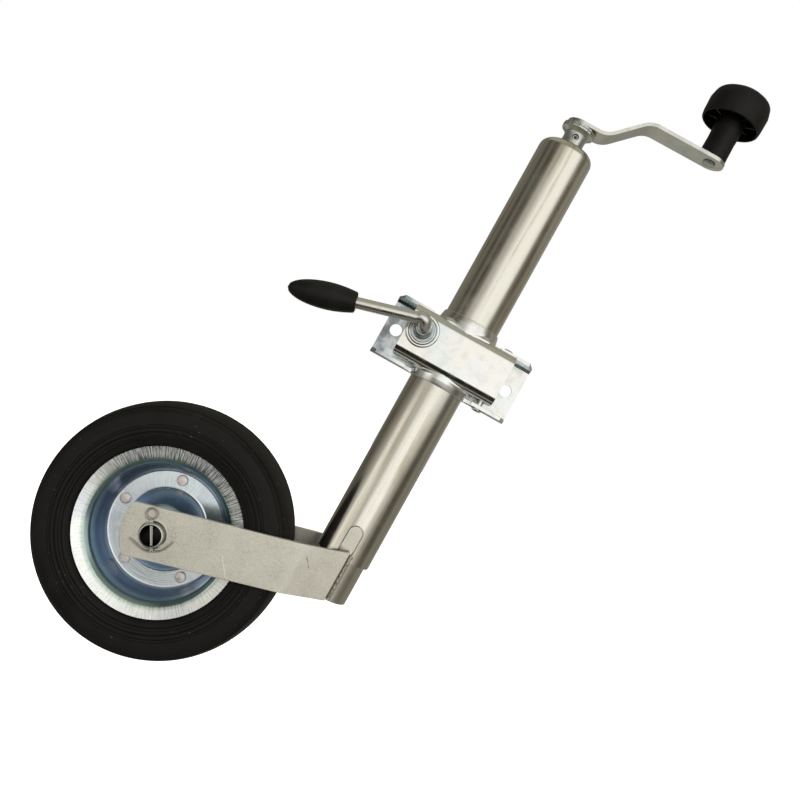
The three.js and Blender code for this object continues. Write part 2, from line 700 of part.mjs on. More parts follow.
// The grip: a drop-shaped plastic handle pushed over the end of the rod.
function leverGrip() {
  const { start, length, radius, depth, fattest, butt } = GRIP;
  const bore = LEVER.rod + GAP;
  const outline = [];
  const steps = 12;
  for (let i = 0; i < steps; i++) {
    const t = i / steps;
    const ahead = Math.sqrt(1 - Math.pow(Math.max(0, t - fattest) / (1 - fattest), 2.1));
    const behind = 1 - (1 - butt) * Math.pow(Math.max(0, fattest - t) / fattest, 1.8);
    outline.push([radius * ahead * behind, t * length]);
  }
  outline.push([0, length]);
  const profile = [[bore, 0], ...outline, [0, depth], [bore, depth]];
  const points = profile.map(([r, z]) => new THREE.Vector2(r, z));
  points.push(points[0].clone());
  const body = new THREE.LatheGeometry(points, 28).translate(0, start, 0);
  body.rotateZ(Math.PI / 2).rotateY(THREE.MathUtils.degToRad(-LEVER.slope));
  const grip = solid(body);
  add("lever_grip", "plastic", grip, [SCREW_AXIS.x, LEVER.y, SCREW_AXIS.z + LEVER.lift]);
}

outerTube();
thrustBearing();
spindle();
crankBoss();
crankArm();
knobPin();
knob();
innerTube();
forkArm("fork_arm_front", -1);
forkArm("fork_arm_rear", 1);
tyre();
rimHalf("rim_front", -1);
rimHalf("rim_rear", 1);
rimRivets();
hubAndAxle();
cotterPin("cotter_pin_front", -1);
cotterPin("cotter_pin_rear", 1);
clampBase();
clampCap();
clampPivot();
clampNut();
clampWasher();
clampLever();
leverGrip();

export default jack;
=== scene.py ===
import math
import random

import bmesh
import bpy
from mathutils import Matrix, Vector

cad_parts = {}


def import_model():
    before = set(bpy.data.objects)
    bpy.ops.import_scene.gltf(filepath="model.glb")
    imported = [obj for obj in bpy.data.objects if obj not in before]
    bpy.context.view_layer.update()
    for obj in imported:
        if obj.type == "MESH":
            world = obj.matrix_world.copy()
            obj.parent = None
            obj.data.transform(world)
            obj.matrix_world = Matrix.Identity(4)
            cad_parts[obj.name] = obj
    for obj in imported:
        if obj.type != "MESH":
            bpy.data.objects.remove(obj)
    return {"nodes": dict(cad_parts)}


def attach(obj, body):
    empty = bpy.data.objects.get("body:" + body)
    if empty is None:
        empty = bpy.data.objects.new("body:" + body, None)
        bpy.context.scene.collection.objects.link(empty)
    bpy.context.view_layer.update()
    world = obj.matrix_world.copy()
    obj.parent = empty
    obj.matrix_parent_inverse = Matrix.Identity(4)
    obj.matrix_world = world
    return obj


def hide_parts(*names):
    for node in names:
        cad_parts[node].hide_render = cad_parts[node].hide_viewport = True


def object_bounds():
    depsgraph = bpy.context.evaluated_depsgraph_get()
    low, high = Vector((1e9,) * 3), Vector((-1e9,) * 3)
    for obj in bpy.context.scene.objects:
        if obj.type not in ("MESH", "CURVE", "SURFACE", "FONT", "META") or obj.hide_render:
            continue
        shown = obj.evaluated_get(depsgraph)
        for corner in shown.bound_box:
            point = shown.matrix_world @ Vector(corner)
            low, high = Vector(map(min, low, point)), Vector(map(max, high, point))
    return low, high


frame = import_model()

CAD_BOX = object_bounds()
MM = 0.001
AXIS_Y = -30.0  # the tube's axis, in front of the mounting face
WHEEL_X, WHEEL_Z = -141.0, -242.6
SCREW_X, SCREW_Z = -32.7, 5.6
CRANK_REACH = 109.5
FINE, COARSE = 192, 64  # sides of a large and a small turned piece

random.seed(7)


# ---------------------------------------------------------------- shape helpers, in millimetres

def polar(radius, degrees, x=0.0, y=0.0):
    a = math.radians(degrees)
    return (x + radius * math.cos(a), y + radius * math.sin(a))


def arc(x, y, radius, start, end, steps):
    return [polar(radius, start + (end - start) * i / steps, x, y) for i in range(steps + 1)]


def soften(points, closed=True, steps=6):
    """Rounds each corner given as (x, y, radius) and leaves the corners given as (x, y)."""
    result = []
    n = len(points)
    for i, p in enumerate(points):
        radius = p[2] if len(p) > 2 else 0
        if radius <= 0 or (not closed and i in (0, n - 1)):
            result.append((p[0], p[1]))
            continue
        corner = Vector(p[:2])
        back = (Vector(points[i - 1][:2]) - corner)
        ahead = (Vector(points[(i + 1) % n][:2]) - corner)
        room = min(back.length, ahead.length) * 0.49
        back.normalize()
        ahead.normalize()
        half = math.acos(max(-1, min(1, back.dot(ahead)))) / 2
        reach = min(radius / math.tan(half), room) if half > 1e-3 else room
        radius = reach * math.tan(half)
        centre = corner + (back + ahead).normalized() * (radius / math.sin(half))
        a = corner + back * reach - centre
        b = corner + ahead * reach - centre
        turn = a.angle_signed(b)
        for k in range(steps + 1):
            t = -turn * k / steps
            result.append((centre.x + a.x * math.cos(t) - a.y * math.sin(t),
                           centre.y + a.x * math.sin(t) + a.y * math.cos(t)))
    return result


def ribbon(line, thickness):
    """The closed outline of a strip of even thickness round an open line."""
    left, right = [], []
    for i, p in enumerate(line):
        here = Vector(p)
        before, after = Vector(line[max(i - 1, 0)]), Vector(line[min(i + 1, len(line) - 1)])
        into, out = here - before, after - here
        if into.length < 1e-9:
            into = out
        if out.length < 1e-9:
            out = into
        along = (into.normalized() + out.normalized()).normalized()
        normal = Vector((-along.y, along.x))
        offset = thickness / 2 / max(0.5, into.normalized().dot(along))
        left.append(tuple(here + normal * offset))
        right.insert(0, tuple(here - normal * offset))
    return left + right


def make(name, vertices, faces):
    mesh = bpy.data.meshes.new(name)
    mesh.from_pydata([Vector(v) * MM for v in vertices], [], faces)
    bm = bmesh.new()
    bm.from_mesh(mesh)
    bmesh.ops.remove_doubles(bm, verts=bm.verts, dist=1e-7)
    bmesh.ops.recalc_face_normals(bm, faces=bm.faces)
    bm.to_mesh(mesh)
    bm.free()
    obj = bpy.data.objects.new(name, mesh)
    bpy.context.scene.collection.objects.link(obj)
    return obj


def lathe(name, profile, axis="z", centre=(0, 0, 0), steps=FINE):
    """Turns a closed profile of (radius, height) points; points on the axis close it as well."""
    rings, vertices, faces = [], [], []
    for r, h in profile:
        ring = []
        for i in range(1 if r < 1e-6 else steps):
            a = 2 * math.pi * i / steps
            u, v = r * math.cos(a), r * math.sin(a)
            p = (u, v, h) if axis == "z" else (u, h, v)
            ring.append(len(vertices))
            vertices.append(Vector(p) + Vector(centre))
        rings.append(ring)
    pairs = list(zip(rings, rings[1:]))
    if profile[0][0] > 1e-6:
        pairs.append((rings[-1], rings[0]))
    for a, b in pairs:
        for i in range(steps):
            j = (i + 1) % steps
            if len(a) == 1 and len(b) == 1:
                break
            if len(a) == 1:
                faces.append((a[0], b[j], b[i]))
            elif len(b) == 1:
                faces.append((a[i], a[j], b[0]))
            else:
                faces.append((a[i], a[j], b[j], b[i]))
    return make(name, vertices, faces)


def prism(name, outline, axis, low, high):
    """Extrudes an outline: [x, y] along z, [x, z] along y, or [y, z] along x."""
    def place(p, h):
        return {"z": (p[0], p[1], h), "y": (p[0], h, p[1]), "x": (h, p[0], p[1])}[axis]
    n = len(outline)
    vertices = [place(p, low) for p in outline] + [place(p, high) for p in outline]
    faces = [tuple(range(n)), tuple(range(n, 2 * n))]
    faces += [(i, (i + 1) % n, n + (i + 1) % n, n + i) for i in range(n)]
    return make(name, vertices, faces)


def rod(name, axis, radius, low, high, centre, steps=COARSE):
    return lathe(name, [(0, low), (radius, low), (radius, high), (0, high)], axis, centre, steps)


def sweep(name, path, radii, sides):
    """A round bar along points, with a shallow cone on each end."""
    cone = 0.25  # height of each cone in radii
    path = [Vector(p) for p in path]
    vertices, faces = [], []
    side = None
    for i, p in enumerate(path):
        ahead = (path[min(i + 1, len(path) - 1)] - path[max(i - 1, 0)]).normalized()
        if side is None:
            side = ahead.orthogonal().normalized()
        side = (side - ahead * side.dot(ahead)).normalized()
        other = ahead.cross(side)
        for k in range(sides):
            a = 2 * math.pi * k / sides
            vertices.append(p + (side * math.cos(a) + other * math.sin(a)) * radii[i])
    for i in range(len(path) - 1):
        for k in range(sides):
            j = (k + 1) % sides
            faces.append((i * sides + k, i * sides + j, (i + 1) * sides + j, (i + 1) * sides + k))
    last = (len(path) - 1) * sides
    for end, ring, step in ((0, 0, path[0] - path[1]), (-1, last, path[-1] - path[-2])):
        vertices.append(path[end] + step.normalized() * radii[end] * cone)
        tip = len(vertices) - 1
        faces += [(ring + k, ring + (k + 1) % sides, tip) for k in range(sides)]
    return make(name, vertices, faces)


def curve_through(points, steps=8):
    """A smooth line through points."""
    points = [Vector(p) for p in points]
    line = []
    for i in range(len(points) - 1):
        p0, p1 = points[max(i - 1, 0)], points[i]
        p2, p3 = points[i + 1], points[min(i + 2, len(points) - 1)]
        for k in range(steps):
            t = k / steps
            line.append(0.5 * (2 * p1 + (p2 - p0) * t + (2 * p0 - 5 * p1 + 4 * p2 - p3) * t ** 2
                               + (3 * p1 - p0 - 3 * p2 + p3) * t ** 3))
    return line + [points[-1]]


def flatten(obj):
    """Applies the piece's modifiers to its mesh."""
    graph = bpy.context.evaluated_depsgraph_get()
    mesh = bpy.data.meshes.new_from_object(obj.evaluated_get(graph))
    obj.modifiers.clear()
    obj.data = mesh
    return obj


def boolean(obj, others, operation):
    for other in others:
        step = obj.modifiers.new("step", "BOOLEAN")
        step.operation, step.solver, step.object = operation, "EXACT", other
        flatten(obj)
        bpy.data.objects.remove(other)
    return obj


def cut(obj, *others):
    return boolean(obj, others, "DIFFERENCE")


def keep(obj, *others):
    return boolean(obj, others, "INTERSECT")


def join(obj, *others):
    return boolean(obj, others, "UNION")


def merge(obj, *others):
    """Puts other meshes into the same piece."""
    bm = bmesh.new()
    for source in (obj, *others):
        bm.from_mesh(source.data)
    bm.to_mesh(obj.data)
    bm.free()
    for other in others:
        bpy.data.objects.remove(other)
    return obj


def round_edges(obj, width, segments=2, angle=38):
    clean(obj)
    bevel = obj.modifiers.new("edge", "BEVEL")
    bevel.width, bevel.segments = width * MM, segments
    bevel.limit_method, bevel.angle_limit = "ANGLE", math.radians(angle)
    bevel.use_clamp_overlap = True
    return flatten(obj)


def clean(obj):
    bm = bmesh.new()
    bm.from_mesh(obj.data)
    bmesh.ops.remove_doubles(bm, verts=bm.verts, dist=2e-6)
    bmesh.ops.dissolve_degenerate(bm, edges=bm.edges, dist=2e-6)
    bmesh.ops.recalc_face_normals(bm, faces=bm.faces)
    bm.to_mesh(obj.data)
    bm.free()
    return obj


def piece(obj, body, nodes, material, angle=32):
    """Shades a piece, gives it its material, and puts it on its body in place of CAD nodes."""
    obj.data.shade_smooth()
    obj.data.set_sharp_from_angle(angle=math.radians(angle))
    weighted = obj.modifiers.new("normals", "WEIGHTED_NORMAL")
    weighted.keep_sharp, weighted.weight = True, 60
    flatten(obj)
    obj.data.materials.clear()
    obj.data.materials.append(material)
    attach(obj, body)
    if nodes:
        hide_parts(*nodes)
    return obj


# ---------------------------------------------------------------- materials

class Graph:
    """Builds a node tree by expressions: each call returns an output socket."""

    def __init__(self, tree):
        self.tree = tree
        tree.nodes.clear()

    def node(self, kind, inputs=None, **settings):
        made = self.tree.nodes.new(kind)
        for key, value in settings.items():
            setattr(made, key, value)
        for key, value in (inputs or {}).items():
            self.put(made.inputs[key], value)
        return made

    def put(self, socket, value):
        if isinstance(value, bpy.types.NodeSocket):
            self.tree.links.new(value, socket)
        elif isinstance(value, (tuple, list)) and socket.type == "RGBA" and len(value) == 3:
            socket.default_value = (*value, 1)
        else:
            socket.default_value = value

    def math(self, operation, a, b=0.0):
        return self.node("ShaderNodeMath", {0: a, 1: b}, operation=operation).outputs[0]

    def add(self, a, b):
        return self.math("ADD", a, b)

    def mul(self, a, b):
        return self.math("MULTIPLY", a, b)

    def sub(self, a, b):
        return self.math("SUBTRACT", a, b)

    def ramp(self, value, low, high, start=0.0, end=1.0):
        inputs = {"Value": value, "From Min": low, "From Max": high, "To Min": start, "To Max": end}
        return self.node("ShaderNodeMapRange", inputs, interpolation_type="SMOOTHSTEP").outputs[0]

    def window(self, value, low, high, soft):
        rise = self.ramp(value, low - soft, low + soft)
        fall = self.ramp(value, high - soft, high + soft, 1.0, 0.0)
        return self.mul(rise, fall)

    def mix(self, factor, a, b, blend="MIX"):
        made = self.node("ShaderNodeMix", data_type="RGBA", blend_type=blend)
        self.put(made.inputs[0], factor)
        self.put(made.inputs[6], a)
        self.put(made.inputs[7], b)
        return made.outputs[2]

    def colours(self, value, stops, blend="EASE"):
        made = self.node("ShaderNodeValToRGB", {0: value})
        ramp = made.color_ramp
        ramp.interpolation = blend
        while len(ramp.elements) < len(stops):
            ramp.elements.new(0.5)
        for element, (place, colour) in zip(ramp.elements, stops):
            element.position = place
            element.color = (*colour, 1)
        return made.outputs[0]

    def strip(self, value, stops):
        """Grey levels by azimuth, in degrees from -180 to 180."""
        greys = [((azimuth + 180) / 360, (light, light, light)) for azimuth, light in stops]
        return self.colours(value, greys, "LINEAR")

    def split(self, vector):
        return self.node("ShaderNodeSeparateXYZ", {0: vector}).outputs

    def vector(self, x, y, z):
        return self.node("ShaderNodeCombineXYZ", {0: x, 1: y, 2: z}).outputs[0]

    def noise(self, vector, scale, detail=3.0, rough=0.55):
        inputs = {"Vector": vector, "Scale": scale, "Detail": detail, "Roughness": rough}
        return self.node("ShaderNodeTexNoise", inputs).outputs[0]

    def bump(self, height, strength, distance=0.0002):
        inputs = {"Height": height, "Strength": strength, "Distance": distance}
        return self.node("ShaderNodeBump", inputs).outputs[0]

    def from_axis(self, x, z, centre_x, centre_z):
        """Distance from an axis that runs from front to back."""
        dx, dz = self.sub(x, centre_x * MM), self.sub(z, centre_z * MM)
        return self.math("SQRT", self.add(self.mul(dx, dx), self.mul(dz, dz)))

    def place(self):
        return self.node("ShaderNodeTexCoord").outputs["Object"]

    def surface(self, **inputs):
        shader = self.node("ShaderNodeBsdfPrincipled", {k.replace("_", " "): v for k, v in inputs.items()})
        out = self.node("ShaderNodeOutputMaterial")
        self.tree.links.new(shader.outputs[0], out.inputs[0])
        return shader


def material(name):
    made = bpy.data.materials.new(name)
    made.use_nodes = True
    return made, Graph(made.node_tree)


def tube_zinc(name="tube_zinc", extra=0.0):
    """Satin plated tube with a lengthwise grain, small pits and hazy patches."""
    made, g = material(name)
    p = g.place()
    x, y, z = g.split(p)
    angle = g.math("ARCTAN2", x, g.add(y, -AXIS_Y * MM))
    long_grain = g.vector(g.mul(angle, 0.024), 0.0, g.mul(z, 0.012))
    grain = g.noise(long_grain, 1500, 4, 0.6)
    bands = g.noise(g.vector(g.mul(angle, 0.024), 0.0, g.mul(z, 0.05)), 130, 3, 0.5)
    haze = g.noise(p, 38, 4, 0.6)
    pits = g.ramp(g.noise(p, 900, 2, 0.5), 0.62, 0.75)
    tone = g.add(g.mul(bands, 0.8), g.mul(haze, 0.2))
    colour = g.colours(tone, [(0.32, (0.56, 0.51, 0.40)), (0.47, (0.80, 0.775, 0.69)),
                              (0.75, (0.88, 0.87, 0.81))])
    colour = g.mix(g.mul(pits, 0.35), colour, (0.42, 0.38, 0.30))
    rough = g.add(g.ramp(haze, 0.3, 0.75, 0.12 + extra, 0.22 + extra), g.mul(grain, 0.07))
    height = g.add(g.mul(grain, 0.5), g.add(g.mul(bands, 0.8), g.mul(pits, -0.4)))
    g.surface(Base_Color=colour, Metallic=1.0, Roughness=rough, Normal=g.bump(height, 0.22, 0.00012))
    return made


# Scores in the satin plating: centre x and z, half length, half width, tone.
WEAR = [(-79.2, -236.7, 9.2, 0.30, (1.0, 0.99, 0.95)), (-22.5, -201.7, 4.8, 0.22, (0.20, 0.19, 0.16))]


def satin_zinc():
    """Matte grey plating over rolled strip, with speckle and fine scratches."""
    made, g = material("satin_zinc")
    p = g.place()
    speckle = g.noise(p, 1380, 3, 0.7)
    cloud = g.noise(p, 45, 4, 0.55)
    x, y, z = g.split(p)
    drawn = g.vector(g.add(g.mul(x, 0.25), g.mul(z, 0.9)), g.mul(y, 0.2), g.mul(x, 0.05))
    scratch = g.ramp(g.noise(drawn, 700, 2, 0.5), 0.66, 0.74)
    colour = g.colours(g.add(g.mul(cloud, 0.35), g.mul(speckle, 0.65)),
                       [(0.33, (0.50, 0.48, 0.41)), (0.5, (0.78, 0.755, 0.66)), (0.67, (0.97, 0.94, 0.84))])
    colour = g.mix(g.mul(scratch, 0.18), colour, (0.80, 0.78, 0.72))
    wiggle = g.mul(g.sub(g.noise(p, 420, 2, 0.6), 0.5), 0.0022)
    cosine, sine = 0.8, 0.6  # the scores run along (sine, -cosine) in x and z
    across = g.add(g.mul(x, cosine), g.mul(z, sine))
    along = g.sub(g.mul(x, sine), g.mul(z, cosine))
    front = g.ramp(y, -0.062, -0.060, 1.0, 0.0)
    for cx, cz, half, width, tone in WEAR:
        u = (cosine * cx + sine * cz) * MM
        v = (sine * cx - cosine * cz) * MM
        line = g.window(g.add(across, wiggle), u - width * MM, u + width * MM, 0.0002)
        score = g.mul(front, g.mul(line, g.window(along, v - half * MM, v + half * MM, 0.0005)))
        colour = g.mix(score, colour, tone)
    rough = g.ramp(cloud, 0.3, 0.7, 0.36, 0.48)
    height = g.add(speckle, g.mul(scratch, -0.6))
    g.surface(Base_Color=colour, Metallic=0.85, Roughness=rough, Normal=g.bump(height, 0.5, 0.00014))
    return made


def bright_zinc(name="bright_zinc", tint=(0.86, 0.87, 0.855), low=0.13, high=0.27, bore=0.0, painted_plate_shade=False,
                head=False):
    """Bright plating: near mirror, with faint blue and straw clouds and tiny pits."""
    made, g = material(name)
    p = g.place()
    cloud = g.noise(p, 34, 3, 0.5)
    patch = g.noise(p, 120, 4, 0.6)
    pits = g.ramp(g.noise(p, 1500, 2, 0.5), 0.63, 0.74)
    colour = g.colours(cloud, [(0.32, tuple(c * k for c, k in zip(tint, (0.93, 0.985, 1.01)))), (0.5, tint),
                               (0.68, tuple(c * k for c, k in zip(tint, (1.02, 0.99, 0.93))))])
    colour = g.mix(g.mul(g.ramp(patch, 0.45, 0.7), 0.25), colour, tuple(c * 0.78 for c in tint))
    colour = g.mix(g.mul(pits, 0.4), colour, (0.3, 0.3, 0.29))
    x, y, z = g.split(p)
    if bore:  # painted shade: the inside of the axle is painted near black
        radius = g.from_axis(x, z, WHEEL_X, WHEEL_Z)
        colour = g.mix(g.ramp(radius, (bore - 0.3) * MM, bore * MM, 1.0, 0.0), colour,
                       (0.012, 0.012, 0.011))
    if painted_plate_shade:  # painted shade: dull blue-grey clouds darken the side where the lever passes
        cover = g.mul(g.ramp(x, -0.060, -0.040, 1.0, 0.0), g.ramp(patch, 0.32, 0.62, 0.55, 1.0))
        colour = g.mix(cover, colour, (0.27, 0.31, 0.345))
        inside = g.mul(g.ramp(y, -0.006, -0.004, 0.75, 0.0), g.window(z, -0.0245, 0.0245, 0.0001))
        colour = g.mix(inside, colour, (0.28, 0.50, 0.55))  # painted shade: the lips' inner faces are a deeper blue-green, the plating's tint darkened
    if head:  # the screw's head is passivated blue-green, the rod is not
        radius = g.from_axis(x, z, SCREW_X, SCREW_Z)
        cover = g.mul(g.ramp(radius, 7.4 * MM, 8.6 * MM, 0.85, 0.0), g.ramp(y, -80 * MM, -76 * MM))
        colour = g.mix(cover, colour, (0.50, 0.59, 0.60))
    rough = g.ramp(patch, 0.3, 0.75, low, high)
    height = g.add(g.mul(patch, 0.6), g.mul(pits, -0.5))
    g.surface(Base_Color=colour, Metallic=1.0, Roughness=rough, Normal=g.bump(height, 0.12, 0.00015))
    return made


def rim_zinc():
    """Blue-passivated pressed sheet: the tint follows the pressing, with a painted highlight band on the
    cone, and the flange is drawn in rays.
    """
    made, g = material("rim_zinc")
    p = g.place()
    x, y, z = g.split(p)
    dx, dz = g.sub(x, WHEEL_X * MM), g.sub(z, WHEEL_Z * MM)
    radius = g.math("SQRT", g.add(g.mul(dx, dx), g.mul(dz, dz)))
    angle = g.math("ARCTAN2", dz, dx)
    ray = g.node("ShaderNodeTexNoise", {"Vector": g.vector(angle, g.mul(radius, 0.7), 0.0),
                                        "Scale": 64.0,
                                        "Detail": 3.0, "Roughness": 0.6}).outputs[0]
    ring = g.noise(g.vector(g.mul(angle, 0.15), g.mul(radius, 60.0), 0.0), 14, 3, 0.6)
    # Tints by radius: the light blue band at about 56 mm, on the cone's bend, is a painted highlight; the
    # other bands are the plating's own tints.
    base = g.colours(g.math("DIVIDE", radius, 0.075), [
        (0.18, (0.46, 0.56, 0.66)), (0.40, (0.42, 0.54, 0.64)), (0.47, (0.78, 0.86, 0.90)),
        (0.655, (0.84, 0.91, 0.95)),
        (0.690, (0.36, 0.44, 0.60)), (0.720, (0.27, 0.36, 0.52)), (0.745, (0.50, 0.64, 0.72)),
        (0.775, (0.34, 0.48, 0.52)),
        (0.815, (0.50, 0.60, 0.54)), (0.86, (0.88, 0.90, 0.87)), (0.93, (0.90, 0.92, 0.89))])
    cloud = g.noise(p, 30, 3, 0.5)
    colour = g.mix(g.ramp(cloud, 0.45, 0.7, 0.0, 0.5), base, (0.66, 0.66, 0.80), "MULTIPLY")
    on_flange = g.ramp(radius, 0.0595, 0.0615)
    on_face = g.window(radius, 0.0355, 0.0500, 0.001)
    streak = g.mul(g.ramp(ray, 0.56, 0.70), on_flange)
    colour = g.mix(g.mul(streak, 0.35), colour, (0.22, 0.24, 0.22))
    colour = g.mix(g.mul(g.mul(g.ramp(ray, 0.42, 0.66), on_face), 0.35), colour, (0.42, 0.50, 0.55))
    in_dish = g.ramp(radius, 0.0325, 0.0345, 1.0, 0.0)
    metal = g.sub(1.0, g.mul(on_flange, g.ramp(ray, 0.40, 0.60, 0.45, 0.05)))
    on_cone = g.window(radius, 0.0505, 0.0600, 0.0012)
    rough = g.add(g.mul(on_flange, g.ramp(ray, 0.4, 0.7, 0.0, 0.14)),
                  g.add(g.add(g.mul(on_face, 0.10), g.mul(on_cone, 0.14)),
                        g.add(g.mul(in_dish, 0.17), 0.13)))
    height = g.add(g.mul(ray, g.mul(on_flange, 0.22)), g.mul(g.mul(ring, on_face), 0.5))
    g.surface(Base_Color=colour, Metallic=metal, Roughness=rough, Normal=g.bump(height, 0.35, 0.0004))
    return made


def rivet_zinc():
    made, g = material("rivet_zinc")
    p = g.place()
    spot = g.noise(p, 420, 4, 0.6)
    colour = g.colours(spot, [(0.35, (0.66, 0.58, 0.56)), (0.5, (0.80, 0.73, 0.70)),
                              (0.68, (0.90, 0.85, 0.80))])
    g.surface(Base_Color=colour, Metallic=0.75, Roughness=g.ramp(spot, 0.3, 0.7, 0.35, 0.5),
              Normal=g.bump(spot, 0.35, 0.0003))
    return made


def plain_steel():
    made, g = material("plain_steel")
    p = g.place()
    grain = g.noise(p, 600, 4, 0.6)
    cloud = g.noise(p, 60, 3, 0.5)
    colour = g.colours(g.add(g.mul(grain, 0.4), g.mul(cloud, 0.6)),
                       [(0.3, (0.42, 0.41, 0.38)), (0.55, (0.62, 0.60, 0.55)), (0.75, (0.72, 0.70, 0.65))])
    g.surface(Base_Color=colour, Metallic=1.0, Roughness=g.ramp(grain, 0.3, 0.7, 0.24, 0.42),
              Normal=g.bump(grain, 0.2, 0.0001))
    return made


def tyre_rubber():
    """Satin black rubber with moulding flow, dust and a few pale specks."""
    made, g = material("tyre_rubber")
    p = g.place()
    fine = g.noise(p, 1300, 3, 0.6)
    dust = g.noise(p, 26, 5, 0.6)
    specks = g.ramp(g.noise(p, 520, 1, 0.4), 0.76, 0.80)
    colour = g.colours(dust, [(0.3, (0.0045, 0.0042, 0.0038)), (0.6, (0.0075, 0.0070, 0.0062)),
                              (0.8, (0.014, 0.0132, 0.0118))])
    colour = g.mix(g.mul(specks, 0.5), colour, (0.16, 0.15, 0.13))
    rough = g.ramp(dust, 0.3, 0.7, 0.52, 0.68)
    g.surface(Base_Color=colour, Roughness=rough, Specular_IOR_Level=0.20,
              Normal=g.bump(g.add(fine, g.mul(dust, 0.4)), 0.25, 0.0002))
    return made


def black_plastic():
    """Moulded black plastic with a fine spark-eroded grain."""
    made, g = material("black_plastic")
    p = g.place()
    grain = g.noise(p, 1900, 2, 0.5)
    cloud = g.noise(p, 70, 4, 0.6)
    colour = g.colours(cloud, [(0.3, (0.0042, 0.0040, 0.0037)), (0.7, (0.0090, 0.0084, 0.0078))])
    g.surface(Base_Color=colour, Roughness=g.ramp(cloud, 0.3, 0.7, 0.42, 0.55), Specular_IOR_Level=0.22,
              Normal=g.bump(grain, 0.3, 0.00018))
    return made


def nylon():
    made, g = material("nylon")
    p = g.place()
    cloud = g.noise(p, 90, 4, 0.6)
    colour = g.colours(cloud, [(0.3, (0.66, 0.63, 0.56)), (0.7, (0.78, 0.76, 0.70))])
    g.surface(Base_Color=colour, Roughness=g.ramp(cloud, 0.3, 0.7, 0.4, 0.55),
              Normal=g.bump(cloud, 0.1, 0.0002))
    return made


def weld_metal():
    made, g = material("weld_zinc")
    p = g.place()
    ripple = g.noise(p, 380, 4, 0.6)
    colour = g.colours(ripple, [(0.3, (0.20, 0.19, 0.15)), (0.5, (0.40, 0.38, 0.32)),
                                (0.7, (0.58, 0.56, 0.49))])
    g.surface(Base_Color=colour, Metallic=0.7, Roughness=g.ramp(ripple, 0.3, 0.7, 0.35, 0.55),
              Normal=g.bump(ripple, 0.6, 0.0004))
    return made


TUBE = tube_zinc()
SATIN = satin_zinc()
LEG = tube_zinc("leg_zinc", 0.12)
ZINC = bright_zinc(tint=(0.90, 0.895, 0.865))
BOSS_ZINC = bright_zinc("boss_zinc", (0.70, 0.72, 0.69), 0.24, 0.42)
WASHER_ZINC = bright_zinc("washer_zinc", (0.52, 0.57, 0.59), 0.20, 0.38)
LEVER_ZINC = bright_zinc("lever_zinc", (0.84, 0.835, 0.81), 0.22, 0.36, head=True)
# the axle's material paints shade into its bore
AXLE_ZINC = bright_zinc("axle_zinc", (0.80, 0.79, 0.76), 0.24, 0.42, 9.0)
# the plate's material has painted shade on its left side and inside the channel
PLATE_ZINC = bright_zinc("plate_zinc", (0.88, 0.885, 0.87), 0.15, 0.30, painted_plate_shade=True)
CRANK_ZINC = bright_zinc("crank_zinc", (0.72, 0.74, 0.70), 0.22, 0.36)
RIM = rim_zinc()
RIVET = rivet_zinc()
STEEL = plain_steel()
RUBBER = tyre_rubber()
PLASTIC = black_plastic()
NYLON = nylon()
WELD = weld_metal()


# ---------------------------------------------------------------- tube, crank and knob

def capsule(half, low, top):
    return [(-half, low), (half, low)] + arc(0, top - half, half, 0, 180, 20)


def outer_tube():
    profile = [(21.5, -190), (24, -190, 0.4), *arc(16, 195, 8, 0, 90, 12), (8, 203), (7, 202.4), (7, 200.5),
               *arc(16, 195, 5.5, 90, 0, 8)]
    tube = lathe("tube", soften(profile), centre=(0, AXIS_Y, 0))
    tube = cut(tube, prism("slot", capsule(6.5, -200, -158.5), "y", AXIS_Y - 40, AXIS_Y + 40))
    piece(round_edges(tube, 0.25), "tube", ["outer_tube"], TUBE)


def crank_boss():
    profile = [(6.6, 203.5), (10.2, 203.5, 0.7), (9.7, 208), (9.7, 212.5), (10.4, 215.8), (12.4, 217.7),
               (14.4, 218.4, 0.5),
               (14.6, 220.0, 0.4), (14.0, 220.4, 0.2), (14.6, 220.9, 0.3), (14.6, 222.5, 0.5), (6.6, 222.7)]
    boss = lathe("neck", soften(profile), centre=(0, AXIS_Y, 0))
    for v in boss.data.vertices:  # the flange's edge is rough from pressing
        x, y = v.co.x, v.co.y - AXIS_Y * MM
        if math.hypot(x, y) > 13.8 * MM:
            angle = math.atan2(y, x)
            push = 1 + 0.010 * math.sin(angle * 21 + math.sin(angle * 5) * 2) + 0.005 * math.sin(angle * 47)
            v.co.x, v.co.y = x * push, y * push + AXIS_Y * MM
    boss = cut(boss, rod("hole", "y", 2.8, AXIS_Y - 14, AXIS_Y + 14, (0, 0, 211.3)))
    piece(boss, "crank", ["crank_boss"], BOSS_ZINC)
    ring = [(1.5, -8.5), (2.2, -8.5, 0.3), (2.5, -8, 0.3), (2.5, 8, 0.3), (2.2, 8.5, 0.3), (1.5, 8.5)]
    piece(lathe("roll_pin_sleeve", soften(ring), "y", (0, AXIS_Y, 211.3), COARSE), "crank",
          ["roll_pin"], STEEL)


